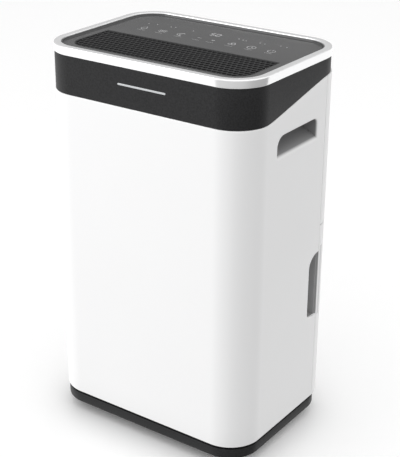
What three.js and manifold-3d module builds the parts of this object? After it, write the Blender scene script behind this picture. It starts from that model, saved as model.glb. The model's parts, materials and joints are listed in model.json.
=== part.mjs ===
// A free-standing dehumidifier: white U-shaped shell, black top band with a bright rim, recessed
// control deck with the air outlet, lift-out water tank behind, and castors under the base.
// Millimetres, +Z up. The front faces -Y, and the origin is on the floor under the middle.

import * as THREE from 'three';
import { mergeVertices } from 'three/addons/utils/BufferGeometryUtils.js';
import Module from 'manifold-3d';

// Driving dimensions
const halfWidth = 152.5; // outer skin of shell, band, rear cover and tank
const frontFace = -110; // outer face of shell and band
const rearFace = 110.7; // outer face of rear cover and tank
const bandRear = 107.3; // the band and the rim stop short of the rear cover's face
const cornerRadius = 44.6; // upright corners
const rimProud = 0.7; // how far the rim stands out from the band
const wall = 2.5; // moulded plastic wall
const gap = 0.3; // clearance between neighbouring pieces

const baseBottom = 14; // underside of the base's skirt above the floor
const baseTop = 31.4;
const baseInset = 1.3;
const baseRear = 106;
const bandLowFront = 454.3; // lower edge of the band across the front
const bandLowSide = 482.6; // and where it has risen to at the rear
const bandRise = 65.5; // the rise runs from -bandRise to +bandRise in Y
const rimBottom = 503.2;
const rimTop = 513.7;
const rimWidth = 8.8; // top face of the rim
const deckTop = 510.4;
const seamY = 68; // joint between the front shell and the rear pieces
const tankSeam = 284; // joint between the tank and the rear cover

const handle = { front: -43.5, rear: 47.5, low: 406, high: 433.5, depth: 24, ramp: 18 };
const notch = { front: 45.5, low: 156, high: 252, depth: 17 };
const outlet = { halfWidth: 128, front: -87, rear: -8, radius: 24 };
const intake = { halfWidth: 92, low: 322, high: 460 };
const lightBar = { centre: 4.9, halfLength: 35.6, low: 480.6, high: 483.7 };
const drain = { x: 70, z: 303, radius: 6.5 };
const gland = { x: -70, z: 303, radius: 5.2 };
const fan = { x: 0, z: 388, radius: 68, front: -72, rear: -16, blades: 16 };
const castor = { x: 124, front: -60, rear: 57.3, radius: 11, width: 8, trail: 8, stem: 3 };
const screwSpots = [[-100, 470], [100, 470], [-100, 296], [100, 296]]; // rear cover, X and Z
const castorTurn = { front_right: 0, front_left: 200, rear_right: 155, rear_left: 120 };
const compressor = { x: -72, y: -53, radius: 45, low: 46.3, high: 214 };
const float = { x: -70, y: 90, z: 262, arm: 35, height: 30 }; // pivot under the tank's lid

const white = { color: 0xf2f2f1, roughness: 0.42 };
const black = { color: 0x2c2c2e, roughness: 0.5 };
const grey = { color: 0x6a6a6c, roughness: 0.45 };
const chrome = { color: 0xe4e4e6, roughness: 0.12, metalness: 1 };
const steel = { color: 0xb4b6b8, roughness: 0.35, metalness: 1 };
const copper = { color: 0xc07a4a, roughness: 0.3, metalness: 1 };
const aluminium = { color: 0xc8cacc, roughness: 0.4, metalness: 1 };
const rubber = { color: 0x1c1c1d, roughness: 0.85 };
const clear = { color: 0xd9e4ea, roughness: 0.1 };
const board = { color: 0x1f5a3a, roughness: 0.55 };
const foam = { color: 0xd8dde2, roughness: 0.9 };
const enamel = { color: 0x1e1f22, roughness: 0.3 };
const lamp = { color: 0xf6f8fa, roughness: 0.3 };

const degrees = Math.PI / 180;
const wasm = await Module();
wasm.setup();
const model = new THREE.Group();

// ---- solids and placing -------------------------------------------------------------------

function toSolid(geometry) {
  const bare = geometry.clone();
  bare.deleteAttribute('normal');
  bare.deleteAttribute('uv');
  const merged = mergeVertices(bare);
  return new wasm.Manifold(new wasm.Mesh({
    numProp: 3,
    vertProperties: new Float32Array(merged.attributes.position.array),
    triVerts: new Uint32Array(merged.index.array),
  }));
}

function toGeometry(solid) {
  const { vertProperties, triVerts } = solid.getMesh();
  const geometry = new THREE.BufferGeometry();
  geometry.setAttribute('position', new THREE.BufferAttribute(vertProperties, 3));
  geometry.setIndex(new THREE.BufferAttribute(triVerts, 1));
  geometry.computeVertexNormals();
  return geometry;
}

const join = (...geometries) => geometries.map(toSolid).reduce((a, b) => a.add(b));
const cut = (solid, ...geometries) => geometries.map(toSolid).reduce((a, b) => a.subtract(b), solid);

function place(name, shape, look, parent = model) {
  const geometry = shape.isBufferGeometry ? shape : toGeometry(shape);
  const mesh = new THREE.Mesh(geometry, new THREE.MeshStandardMaterial(look));
  mesh.name = name;
  parent.add(mesh);
  return mesh;
}

function box(x0, x1, y0, y1, z0, z1) {
  return new THREE.BoxGeometry(x1 - x0, y1 - y0, z1 - z0)
    .translate((x0 + x1) / 2, (y0 + y1) / 2, (z0 + z1) / 2);
}

function roundZ(x, y, radius, z0, z1, sides = 24) {
  return new THREE.CylinderGeometry(radius, radius, z1 - z0, sides)
    .rotateX(Math.PI / 2).translate(x, y, (z0 + z1) / 2);
}

function roundY(x, z, radius, y0, y1, sides = 24) {
  return new THREE.CylinderGeometry(radius, radius, y1 - y0, sides).translate(x, (y0 + y1) / 2, z);
}

function roundX(y, z, radius, x0, x1, sides = 24) {
  return new THREE.CylinderGeometry(radius, radius, x1 - x0, sides)
    .rotateZ(Math.PI / 2).translate((x0 + x1) / 2, y, z);
}

// The profile's pairs are radius and height. It starts and ends on the axis.
function latheZ(x, y, profile, sides = 24) {
  const points = profile.map(([r, z]) => new THREE.Vector2(r, z));
  return new THREE.LatheGeometry(points, sides).rotateX(Math.PI / 2).translate(x, y, 0);
}

function latheY(x, z, profile, sides = 24) {
  const points = profile.map(([r, y]) => new THREE.Vector2(r, y));
  return new THREE.LatheGeometry(points, sides).translate(x, 0, z);
}

function prismZ(shape, z0, z1, curveSegments = 5) {
  return new THREE.ExtrudeGeometry(shape, { depth: z1 - z0, bevelEnabled: false, curveSegments })
    .translate(0, 0, z0);
}

// The shape's axes are Y and Z, and it is pushed along X.
function prismX(shape, x0, x1, curveSegments = 3) {
  const turn = new THREE.Matrix4().makeBasis(
    new THREE.Vector3(0, 1, 0), new THREE.Vector3(0, 0, 1), new THREE.Vector3(1, 0, 0));
  return new THREE.ExtrudeGeometry(shape, { depth: x1 - x0, bevelEnabled: false, curveSegments })
    .applyMatrix4(turn).translate(x0, 0, 0);
}

// The shape's axes are X and Z, and it is pushed along Y.
function prismY(shape, y0, y1, curveSegments = 3) {
  const turn = new THREE.Matrix4().makeBasis(
    new THREE.Vector3(1, 0, 0), new THREE.Vector3(0, 0, 1), new THREE.Vector3(0, -1, 0));
  return new THREE.ExtrudeGeometry(shape, { depth: y1 - y0, bevelEnabled: false, curveSegments })
    .applyMatrix4(turn).translate(0, y1, 0);
}

function polygon(...points) {
  return new THREE.Shape(points.map(([u, v]) => new THREE.Vector2(u, v)));
}

// Rectangle with its own radius at each corner: low-low, high-low, high-high, low-high.
function rounded(u0, u1, v0, v1, radii) {
  const [a, b, c, d] = Array.isArray(radii) ? radii : [radii, radii, radii, radii];
  const shape = new THREE.Shape();
  shape.moveTo(u0 + a, v0);
  shape.lineTo(u1 - b, v0);
  if (b) shape.absarc(u1 - b, v0 + b, b, -90 * degrees, 0);
  shape.lineTo(u1, v1 - c);
  if (c) shape.absarc(u1 - c, v1 - c, c, 0, 90 * degrees);
  shape.lineTo(u0 + d, v1);
  if (d) shape.absarc(u0 + d, v1 - d, d, 90 * degrees, 180 * degrees);
  shape.lineTo(u0, v0 + a);
  if (a) shape.absarc(u0 + a, v0 + a, a, 180 * degrees, 270 * degrees);
  return shape;
}

// The cabinet's outline seen from above, drawn in by an inset.
function plan(inset, rear = rearFace, front = frontFace) {
  return rounded(-halfWidth + inset, halfWidth - inset, front + inset, rear - inset,
    cornerRadius - inset);
}

function tube(points, radius, steps, sides = 8) {
  const circle = new THREE.Shape().absarc(0, 0, radius, 0, 2 * Math.PI);
  const path = new THREE.CatmullRomCurve3(points.map((p) => new THREE.Vector3(...p)), false,
    'centripetal');
  return new THREE.ExtrudeGeometry(circle,
    { steps, extrudePath: path, curveSegments: sides / 2, bevelEnabled: false });
}

// ---- base and castors -----------------------------------------------------------------------

const castorSpots = [
  ['front_right', castor.x, castor.front], ['front_left', -castor.x, castor.front],
  ['rear_right', castor.x, castor.rear], ['rear_left', -castor.x, castor.rear],
];
const earAngles = [90, 210, 330];
const earReach = 56;
const studSpots = earAngles.map((a) => [compressor.x + earReach * Math.cos(a * degrees),
  compressor.y + 0.8 * earReach * Math.sin(a * degrees)]);

function basePlate() {
  const skirt = 3;
  const socketTop = 33.2;
  const bossTop = 35.4;
  let solid = join(prismZ(plan(baseInset, baseRear), baseBottom, baseTop),
    ...castorSpots.map(([, x, y]) => roundZ(x, y, 8, baseTop - 1, bossTop, 10)),
    ...studSpots.map(([x, y]) => roundZ(x, y, 2.8, baseTop - 1, 54, 8)));
  solid = cut(solid, prismZ(plan(baseInset + skirt, baseRear), 0, baseTop - skirt),
    ...castorSpots.map(([, x, y]) => roundZ(x, y, castor.stem + gap + 0.1, baseBottom, socketTop, 10)));
  place('base_plate', solid, black);
}

function castorSet([spot, x, y]) {
  const crownLow = castor.radius * 2 + 2.2;
  const crownTop = 27.7;
  const cheekGap = castor.width / 2 + 0.6;
  const cheek = 2;
  const set = new THREE.Group();
  set.position.set(x, y, 0);
  set.rotation.z = castorTurn[spot] * degrees;
  model.add(set);

  const crown = rounded(-7, castor.trail + 7, -cheekGap - cheek, cheekGap + cheek, 4);
  const side = new THREE.Shape();
  side.moveTo(-5, crownLow + 1);
  side.lineTo(castor.trail - 4.5, castor.radius);
  side.absarc(castor.trail, castor.radius, 4.5, 180 * degrees, 360 * degrees);
  side.lineTo(castor.trail + 6, crownLow + 1);
  const axleHole = roundY(castor.trail, castor.radius, 1.7 + gap, -12, 12, 10);
  const yoke = cut(join(prismZ(crown, crownLow, crownTop, 1), roundZ(0, 0, castor.stem, 27, 32.6, 10),
    prismY(side, -cheekGap - cheek, -cheekGap, 2), prismY(side, cheekGap, cheekGap + cheek, 2)),
  axleHole);
  place(`castor_yoke_${spot}`, yoke, steel, set);

  // The wheel is turned so that it stands on one of its facets.
  const half = castor.width / 2;
  const tread = castor.radius;
  const sides = 16;
  const facet = (180 / sides) * degrees;
  const axleHeight = tread * Math.cos(facet);
  const wheel = latheY(0, 0, [[2.1, -half], [tread - 1, -half], [tread, -half + 1], [tread, half - 1],
    [tread - 1, half], [2.1, half], [2.1, -half]], sides);
  wheel.rotateY(facet).translate(castor.trail, 0, axleHeight);
  place(`castor_wheel_${spot}`, wheel, rubber, set);
  place(`castor_axle_${spot}`, roundY(castor.trail, axleHeight, 1.7, -7.6, 7.6, 10), steel, set);
}

// ---- outer shells ---------------------------------------------------------------------------

// Everything above the band's lower edge, which rises along the sides.
function aboveBandEdge(shift) {
  const low = bandLowFront + shift;
  const high = bandLowSide + shift;
  return prismX(polygon([-200, low], [-bandRise, low], [bandRise, high], [200, high], [200, 600],
    [-200, 600]), -200, 200);
}

// Finger recess in one side: level above, its floor an S-curve that runs out to the skin below.
// grow thickens it.
function handlePocket(side, grow) {
  const deep = halfWidth - handle.depth - grow;
  const reach = halfWidth + 5;
  const section = new THREE.Shape();
  section.moveTo(side * reach, handle.high + grow);
  section.lineTo(side * deep, handle.high + grow);
  const bends = 9;
  for (let i = bends; i >= 0; i -= 1) {
    const t = i / bends;
    section.lineTo(side * (halfWidth - grow - handle.depth * t * t * (3 - 2 * t)),
      handle.low - grow + handle.ramp * t);
  }
  section.lineTo(side * reach, handle.low - grow);
  const opening = rounded(handle.front - grow, handle.rear + grow, handle.low - grow,
    handle.high + grow, [2 + grow, 2 + grow, 8 + grow, 14 + grow]);
  const across = side > 0 ? prismX(opening, 100, 170) : prismX(opening, -170, -100);
  return toSolid(prismY(section, handle.front - 9, handle.rear + 9)).intersect(toSolid(across));
}

function frontShell() {
  const low = baseTop + gap;
  const outer = prismZ(plan(0), low, rimBottom);
  const inner = prismZ(plan(wall), low - 5, rimBottom + 5);
  let solid = cut(toSolid(outer), inner, box(-200, 200, seamY - gap / 2, 200, 0, 600),
    aboveBandEdge(-gap));
  const gripHole = rounded(notch.front, seamY + 20, notch.low, notch.high, [6, 0, 0, 20]);
  for (const side of [-1, 1]) {
    solid = solid.add(handlePocket(side, wall).intersect(toSolid(prismZ(plan(0.5), 300, 500))));
    solid = solid.subtract(handlePocket(side, 0));
    const [x0, x1] = side > 0 ? [halfWidth - 9, halfWidth + 9] : [-halfWidth - 9, -halfWidth + 9];
    solid = cut(solid, prismX(gripHole, x0, x1));
  }
  place('front_shell', solid, white);
}

function topBand() {
  const outer = toSolid(prismZ(plan(0, bandRear), bandLowFront, rimBottom));
  const body = outer.intersect(toSolid(aboveBandEdge(0)));
  const { centre, halfLength, low, high } = lightBar;
  const slot = prismY(rounded(centre - halfLength, centre + halfLength, low, high, 1.5), -120, -100);
  place('top_band', cut(body, prismZ(plan(wall, bandRear), 400, 600), slot), black);
}

function bandLight() {
  const { centre, halfLength, low, high } = lightBar;
  const bar = rounded(centre - halfLength + gap, centre + halfLength - gap, low + gap, high - gap, 1.2);
  place('light_bar', prismY(bar, frontFace - 0.1, frontFace + 6), lamp);
}

// Rim section with its outer and inner top edges eased.
function rim() {
  const ease = 1.6;
  const ring = (grow, z0, z1) => prismZ(plan(-grow, bandRear), z0, z1);
  const bottom = rimBottom + gap;
  const outer = join(ring(rimProud, bottom, rimTop - ease), ring(rimProud - ease, bottom, rimTop));
  place('chrome_rim', cut(outer, prismZ(plan(rimWidth, bandRear), 400, 600)), chrome);
}

function deck() {
  const inset = rimWidth + gap;
  const lip = 2;
  const floor = 2.4;
  const wallTop = rimTop - 1.2;
  const hole = rounded(-outlet.halfWidth, outlet.halfWidth, outlet.front, outlet.rear,
    [outlet.radius, outlet.radius, 2, 2]);
  const solid = cut(toSolid(prismZ(plan(inset, bandRear), deckTop - floor, wallTop)),
    prismZ(plan(inset + lip, bandRear), deckTop, wallTop + 5), prismZ(hole, 480, 520, 4));
  place('top_deck', solid, grey);
}

function outletGrille() {
  const frame = rounded(-outlet.halfWidth + gap, outlet.halfWidth - gap, outlet.front + gap,
    outlet.rear - gap, [outlet.radius, outlet.radius, 2, 2]);
  const columns = 9;
  const pitchX = 27;
  const rows = [-71, -51, -31];
  const slots = [];
  for (const y of rows) {
    for (let i = 0; i < columns; i += 1) {
      const x = (i - (columns - 1) / 2) * pitchX;
      slots.push(box(x - 11, x + 11, y, y + 15, 490, 520));
    }
  }
  place('outlet_grille', cut(toSolid(prismZ(frame, deckTop - 4.4, deckTop - 0.5, 4)), ...slots), black);
}

// ---- rear cover, intake and drain -------------------------------------------------------------

function rearCover() {
  const low = tankSeam + gap;
  let solid = cut(toSolid(prismZ(plan(0), low, rimBottom)), prismZ(plan(wall), 200, 600),
    box(-200, 200, -200, seamY + gap / 2, 0, 600), aboveBandEdge(-gap));
  const opening = rounded(-intake.halfWidth, intake.halfWidth, intake.low, intake.high, 6);
  const holder = (spot, radius) => roundY(spot.x, spot.z, radius, rearFace - 9, rearFace - 1, 14);
  solid = solid.add(join(holder(drain, 13), holder(gland, 11)));
  solid = cut(solid, prismY(opening, 90, 130, 3), roundY(drain.x, drain.z, 10.5, 104, 130, 14),
    roundY(drain.x, drain.z, drain.radius + 2.4, 90, 130, 14), roundY(gland.x, gland.z, 8, 90, 130, 14),
    ...screwSpots.map(([x, z]) => roundY(x, z, 1.9, 100, 130, 8)),
    ...screwSpots.map(([x, z]) => roundY(x, z, 3.8, rearFace - 1.3, 130, 10)));
  place('rear_cover', solid, white);
}

function coverScrews() {
  screwSpots.forEach(([x, z], i) => {
    const screw = latheY(x, z, [[0, rearFace - 16], [1.5, rearFace - 14.5], [1.5, rearFace - 1],
      [3.3, rearFace - 1], [3.3, rearFace - 0.6], [2.4, rearFace - 0.1], [0, rearFace - 0.1]], 10);
    place(`cover_screw_${i + 1}`, screw, steel);
  });
}

function intakeGrille() {
  const frame = 7;
  const half = intake.halfWidth - gap;
  const low = intake.low + gap;
  const high = intake.high - gap;
  const front = rearFace - 7;
  const surround = cut(toSolid(prismY(rounded(-half, half, low, high, 5.5), front, rearFace - gap, 3)),
    prismY(rounded(-half + frame, half - frame, low + frame, high - frame, 3), 90, 130, 3));
  const slats = 9;
  const pitch = (high - low - 2 * frame) / slats;
  const bars = [];
  for (let i = 1; i < slats; i += 1) {
    const z = low + frame + i * pitch;
    bars.push(prismX(polygon([front + 1, z + 2.4], [front + 1, z + 0.8], [rearFace - 0.8, z - 2.4],
      [rearFace - 0.8, z - 0.8]), -half + frame - 1, half - frame + 1));
  }
  const posts = [-half / 3, half / 3].map((x) => box(x - 1.2, x + 1.2, front + 0.5, front + 3, low + 3,
    high - 3));
  place('intake_grille', surround.add(join(...bars, ...posts)), white);
}

function filterMesh() {
  const half = intake.halfWidth - 5;
  place('filter_mesh', box(-half, half, rearFace - 9.2, rearFace - 7.3, intake.low + 5,
    intake.high - 5), black);
}

function drainParts() {
  const spout = cut(toSolid(roundY(drain.x, drain.z, drain.radius, 99, 105.5, 20)),
    roundY(drain.x, drain.z, 4.6, 90, 120, 20));
  place('drain_spout', spout, white);
  const cap = latheY(drain.x, drain.z, [[0, 100.5], [3.6, 100.5], [4.1, 101.5], [4.1, 105.9],
    [8.6, 105.9], [8.6, 108.8], [7.8, 110.2], [0, 110.2]], 16);
  place('drain_cap', cap, rubber);
  const sleeve = latheY(gland.x, gland.z, [[gland.radius - 1.2, 98], [7.6, 98], [7.6, 110.2],
    [6.6, 110.6], [gland.radius - 1.2, 110.6], [gland.radius - 1.2, 98]], 16);
  place('cord_gland', sleeve, rubber);
}

// ---- water tank -------------------------------------------------------------------------------

const tankFront = 8;
const tankTop = 270;
const tankFloor = 44;
const tankHalf = halfWidth - wall - 0.6;

// Grip scoop in the tank's side, bowl-shaped towards the front. grow thickens it.
function gripScoop(side, grow) {
  const section = new THREE.Shape();
  const back = seamY - 2 + grow;
  section.moveTo(side * (halfWidth + 5 - grow), back);
  section.lineTo(side * (halfWidth - notch.depth - grow), back);
  const bends = 6;
  for (let i = 0; i <= bends; i += 1) {
    const turn = (i / bends) * 90 * degrees;
    section.lineTo(side * (halfWidth - (notch.depth + grow) * Math.cos(turn)),
      notch.front - grow + 12 * (1 - Math.sin(turn)));
  }
  section.lineTo(side * (halfWidth + 5 - grow), notch.front - grow);
  const opening = rounded(notch.front - grow, seamY + 9, notch.low - grow, notch.high + grow,
    [8, 0, 0, 20 + grow]);
  const across = side > 0 ? prismX(opening, 100, 170) : prismX(opening, -170, -100);
  return toSolid(prismZ(section, notch.low - 9, notch.high + 9)).intersect(toSolid(across));
}

function waterTank() {
  const rearLow = baseTop + gap;
  const rearTop = tankSeam - gap;
  const rearStart = seamY + gap / 2;
  const behind = box(-200, 200, rearStart, 200, 0, 600);
  const rearBlock = toSolid(prismZ(plan(0), rearLow, rearTop)).intersect(toSolid(behind));
  const frontBlock = toSolid(box(-tankHalf, tankHalf, tankFront, rearStart + 3, tankFloor, tankTop));
  const outside = rearBlock.add(frontBlock);
  let hollow = toSolid(prismZ(plan(wall), tankFloor + wall, 600)).intersect(toSolid(behind));
  hollow = hollow.add(toSolid(box(-tankHalf + wall, tankHalf - wall, tankFront + wall,
    rearStart + 1, tankFloor + wall, 600)));
  const under = toSolid(prismZ(plan(wall), 0, tankFloor)).intersect(
    toSolid(box(-200, 200, rearStart - 1, 200, 0, 600)));
  let solid = outside.subtract(hollow).subtract(under);
  for (const side of [-1, 1]) {
    solid = solid.add(gripScoop(side, wall).intersect(outside)).subtract(gripScoop(side, 0));
  }
  const window = prismY(rounded(-9, 9, 74, 236, 4), 100, 130, 4);
  place('water_tank', cut(solid, window), white);
}

function tankFittings() {
  const glass = prismY(rounded(-8.7, 8.7, 74.3, 235.7, 3.7), rearFace - 2.4, rearFace - 0.2, 4);
  place('level_window', glass, clear);

  const low = tankTop + gap;
  const lid = toSolid(box(-tankHalf + 0.4, tankHalf - 0.4, tankFront + 0.4, rearFace - wall - 0.6,
    low, low + 2.2));
  const corners = toSolid(prismZ(plan(wall + 0.6), low - 1, low + 9));
  const drip = join(roundZ(0, 60, 12, low, low + 4.4, 20));
  const { x, y, z } = float;
  const bore = roundX(y, z, 1.9, x - 20, x + 20, 12);
  const hangers = join(...[-1, 1].map((s) => box(x + s * 9 - 1.2, x + s * 9 + 1.2, y - 5, y + 5,
    z - 5, low + 1)));
  const solid = lid.intersect(corners).add(drip).add(hangers);
  place('tank_lid', cut(solid, roundZ(0, 60, 9, 200, 300, 20), bore), white);

  const bobTop = z - float.arm;
  const arm = join(roundX(y, z, 4, x - 6, x + 6, 16), box(x - 3, x + 3, y - 1.6, y + 1.6, bobTop + gap, z));
  place('float_arm', cut(arm, bore), white);
  const bob = rounded(x - 18, x + 18, y - 14, y + 14, 6);
  place('float', prismZ(bob, bobTop - float.height, bobTop, 3), foam);
  place('float_pin', roundX(y, z, 1.5, x - 12, x + 12, 12), steel);
}

// ---- inner frame and drip tray ------------------------------------------------------------------

function innerFrame() {
  const side = halfWidth - wall - 1;
  const shelfTop = 283;
  const wallUp = box(-side, side, 2, 4.5, baseTop + gap, shelfTop);
  const shelf = box(-side, side, 2, seamY - 1, shelfTop - 3, shelfTop);
  const solid = cut(join(wallUp, shelf), roundZ(0, 60 - 6, 7, 200, 300, 20),
    box(compressor.x - 14, compressor.x + 14, -2, 8, 262, 290));
  place('tank_bay_frame', solid, black);
}

function dripTray() {
  const outer = rounded(-128, 128, 14, 92, 5);
  const inner = rounded(-126, 126, 16, 90, 4);
  const low = tankSeam + 3;
  let solid = cut(toSolid(prismZ(outer, low, low + 12, 3)), prismZ(inner, low + 2, low + 20, 3));
  solid = cut(solid, roundZ(0, 54, 4, 200, 300, 16));
  place('drip_tray', solid, grey);
}

// ---- refrigeration ------------------------------------------------------------------------------

function compressorSet() {
  const { x, y, radius, low, high } = compressor;
  const dome = 14;
  const can = latheZ(x, y, [[0, low + 2], [radius - 12, low + 2], [radius - 2, low + dome - 4],
    [radius, low + dome], [radius, high - dome - 6], [radius - 4, high - dome + 2],
    [radius - 16, high - 3], [0, high]], 18);
  const ears = new THREE.Shape();
  const outline = studSpots.map(([u, v]) => new THREE.Vector2(u, v));
  ears.setFromPoints(outline);
  const plate = join(prismZ(ears, low, low + 3), ...studSpots.map(([u, v]) => roundZ(u, v, 9, low,
    low + 3, 12)));
  const post = toSolid(roundZ(x, y, 7, high - 6, high + 7, 12));
  const solid = cut(plate.add(toSolid(can)).add(post),
    ...studSpots.map(([u, v]) => roundZ(u, v, 2.8 + gap, 0, 60, 12)));
  place('compressor', solid, enamel);
  studSpots.forEach(([u, v], i) => {
    const ring = latheZ(u, v, [[3.2, baseTop + gap], [8, baseTop + gap], [6.6, 36], [6.6, 41],
      [8, low - gap], [3.2, low - gap], [3.2, baseTop + gap]], 12);
    place(`compressor_grommet_${i + 1}`, ring, rubber);
  });
  place('accumulator', latheZ(x + 66, y, [[0, 70], [6, 71], [14, 80], [14, 158], [6, 167], [0, 168]], 20),
    enamel);
}

// A finned block: fins stand across the air path, and hairpin bends show at one end.
function finnedCoil(name, y0, y1, low, high, look) {
  const half = 96;
  const fins = 12;
  const pitch = (2 * half) / fins;
  const core = (y1 - y0) * 0.3;
  const middle = (y0 + y1) / 2;
  const comb = new THREE.Shape();
  comb.moveTo(-half, y0);
  for (let i = 0; i < fins; i += 1) {
    const x = -half + i * pitch;
    comb.lineTo(x + pitch / 2, y0);
    if (i === fins - 1) break;
    comb.lineTo(x + pitch / 2, middle - core);
    comb.lineTo(x + pitch, middle - core);
    comb.lineTo(x + pitch, y0);
  }
  const last = -half + (fins - 1) * pitch + pitch / 2;
  comb.lineTo(last, y1);
  for (let i = fins - 1; i > 0; i -= 1) {
    const x = -half + i * pitch;
    comb.lineTo(x, y1);
    comb.lineTo(x, middle + core);
    comb.lineTo(x - pitch / 2, middle + core);
    comb.lineTo(x - pitch / 2, y1);
  }
  comb.lineTo(-half, y1);
  const bends = [];
  const rows = 3;
  const step = (high - low) / rows;
  for (let i = 0; i < rows; i += 1) {
    const z = low + (i + 0.5) * step;
    const r = step * 0.25;
    const arch = [];
    for (let k = 0; k <= 6; k += 1) {
      const turn = (k / 6 - 0.5) * 180 * degrees;
      arch.push([last - 1 + 1.4 * r * Math.cos(turn) + 1, middle, z + r * Math.sin(turn)]);
    }
    bends.push(tube([[last - 4, middle, z - r], ...arch, [last - 4, middle, z + r]], 3.2, 6, 5));
  }
  place(name, toSolid(prismZ(comb, low, high)).add(join(...bends)), look);
}

function pipes() {
  const { x, y, high } = compressor;
  const behind = 83; // middle of the evaporator
  const ahead = 48; // middle of the condenser
  place('discharge_pipe', tube([[x, y, high + 7.6], [x, y, high + 22], [-100, -46, 262],
    [-118, -24, 286], [-118, -2, 304], [-118, 30, 316], [-114, 45, 332], [-107, ahead, 342],
    [-97, ahead, 345]], 3.2, 24, 6), copper);
  place('suction_pipe', tube([[x + 66, y, 168.6], [x + 66, y, 196], [20, -40, 236], [80, -26, 262],
    [114, -20, 286], [118, -2, 306], [118, 40, 318], [118, 66, 332], [115, 80, 352],
    [104, behind, 361], [90.2, behind, 361]], 4, 28, 6), copper);
  place('suction_link', tube([[x + 66, y, 69.4], [x + 66, y, 62], [x + 63.5, y, 57],
    [x + 58, y, 55], [x + 46, y, 55]], 3.2, 10, 6), copper);
  place('capillary_tube', tube([[90.2, ahead, 407], [104, ahead, 407], [116, 56, 407],
    [118, 66, 407], [116, 76, 407], [104, behind, 407], [90.2, behind, 407]], 1.4, 16, 6), copper);
}

// ---- fan ------------------------------------------------------------------------------------------

// The scroll widens round the impeller and flares up into the outlet duct.
function scrollOutline(inset) {
  const shape = new THREE.Shape();
  const turns = 16;
  shape.moveTo(-122 + inset, 506);
  for (let i = 0; i <= turns; i += 1) {
    const share = i / turns;
    const angle = (150 + 240 * share) * degrees;
    const reach = 78 + 24 * share - inset;
    shape.lineTo(fan.x + reach * Math.cos(angle), fan.z + reach * Math.sin(angle));
  }
  shape.lineTo(122 - inset, 506);
  return shape;
}

function fanHousing() {
  const front = outlet.front + 1;
  const rear = outlet.rear - 1;
  const top = 505;
  let solid = toSolid(prismY(scrollOutline(0), front, rear));
  solid = cut(solid, prismY(scrollOutline(2), front + 2, rear - 2),
    box(-200, 200, -200, 200, top, 600), box(-118, 118, front + 2, rear - 2, top - 4, 600),
    roundY(fan.x, fan.z, 58, rear - 4, rear + 4, 32), roundY(fan.x, fan.z, 40, front - 4, front + 4, 28));
  place('fan_housing', solid, black);
}

function impeller() {
  const { x, z, radius, front, rear, blades } = fan;
  const plate = roundY(x, z, radius, front, front + 2, 24);
  const hub = latheY(x, z, [[0, front + 1], [9, front + 1], [9, front + 26], [0, front + 26]], 12);
  const ring = cut(toSolid(roundY(x, z, radius, rear - 3, rear, 24)),
    roundY(x, z, radius - 9, rear - 9, rear + 9, 24));
  const blade = [];
  for (let i = 0; i < blades; i += 1) {
    const vane = box(-0.8, 0.8, front + 1, rear - 1, radius - 10.5, radius - 1.2)
      .translate(0, 0, -radius).rotateY(28 * degrees).translate(0, 0, radius)
      .rotateY((360 / blades) * i * degrees).translate(x, 0, z);
    blade.push(vane);
  }
  const solid = cut(join(plate, hub, ...blade).add(ring), roundY(x, z, 3.4, -100, 0, 12));
  place('fan_impeller', solid, black);
  place('fan_shaft', roundY(x, z, 3, front - 3.9, front + 25, 12), steel);
}

function motorSet() {
  const { x, z, front } = fan;
  const can = latheY(x, z, [[0, -105.5], [24, -105.5], [33, -101], [33, -80],
    [24, front - 4.2], [0, front - 4.2]], 20);
  place('fan_motor', can, steel);
  const ring = cut(toSolid(roundY(x, z, 46, -90.5, -88.3, 28)), roundY(x, z, 33.4, -95, -80, 28));
  const feet = [90, 210, 330].map((a) => box(-7, 7, -90.5, -88.3, 40, 62).rotateY(a * degrees)
    .translate(x, 0, z));
  place('motor_bracket', ring.add(join(...feet)), steel);
}

// ---- electrics ----------------------------------------------------------------------------------------

function electrics() {
  const tray = cut(toSolid(box(28, 130, -97, -55, 80, 200)), box(30, 128, -95, -50, 82, 198));
  place('control_box', tray, black);
  const parts = [box(34, 124, -92.6, -91, 86, 194), box(40, 66, -91.5, -73, 150, 178),
    box(72, 96, -91.5, -81, 156, 180), box(100, 118, -91.5, -77, 96, 140),
    box(42, 84, -91.5, -85, 98, 128)];
  place('control_board', join(...parts), board);
  place('run_capacitor', latheZ(96, -32, [[0, 60], [16, 60], [17, 62], [17, 118], [15, 120], [4, 120],
    [4, 128], [0, 128]], 16), aluminium);
  place('display_board', join(box(-110, 106, 14, 74, 498, 499.6), box(-14, 14, 36, 56, 499, 506)), board);
  place('humidity_sensor', join(box(112, 124, 90, 94, 370, 392), box(115, 121, 93, 97, 374, 388)), grey);
  place('tank_switch', join(box(96, 124, -8, 1.6, 250, 264), box(104, 112, -5, -1, 263, 267)), black);
}

basePlate();
castorSpots.forEach(castorSet);
frontShell();
topBand();
bandLight();
rim();
deck();
outletGrille();
rearCover();
coverScrews();
intakeGrille();
filterMesh();
drainParts();
waterTank();
tankFittings();
innerFrame();
dripTray();
compressorSet();
finnedCoil('evaporator', 68, 98, 314, 454, aluminium);
finnedCoil('condenser', 34, 62, 314, 454, aluminium);
pipes();
fanHousing();
impeller();
motorSet();
electrics();

export default model;
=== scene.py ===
import json
import math
import bpy
import bmesh
import numpy as np
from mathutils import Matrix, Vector
from mathutils.geometry import tessellate_polygon

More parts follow.
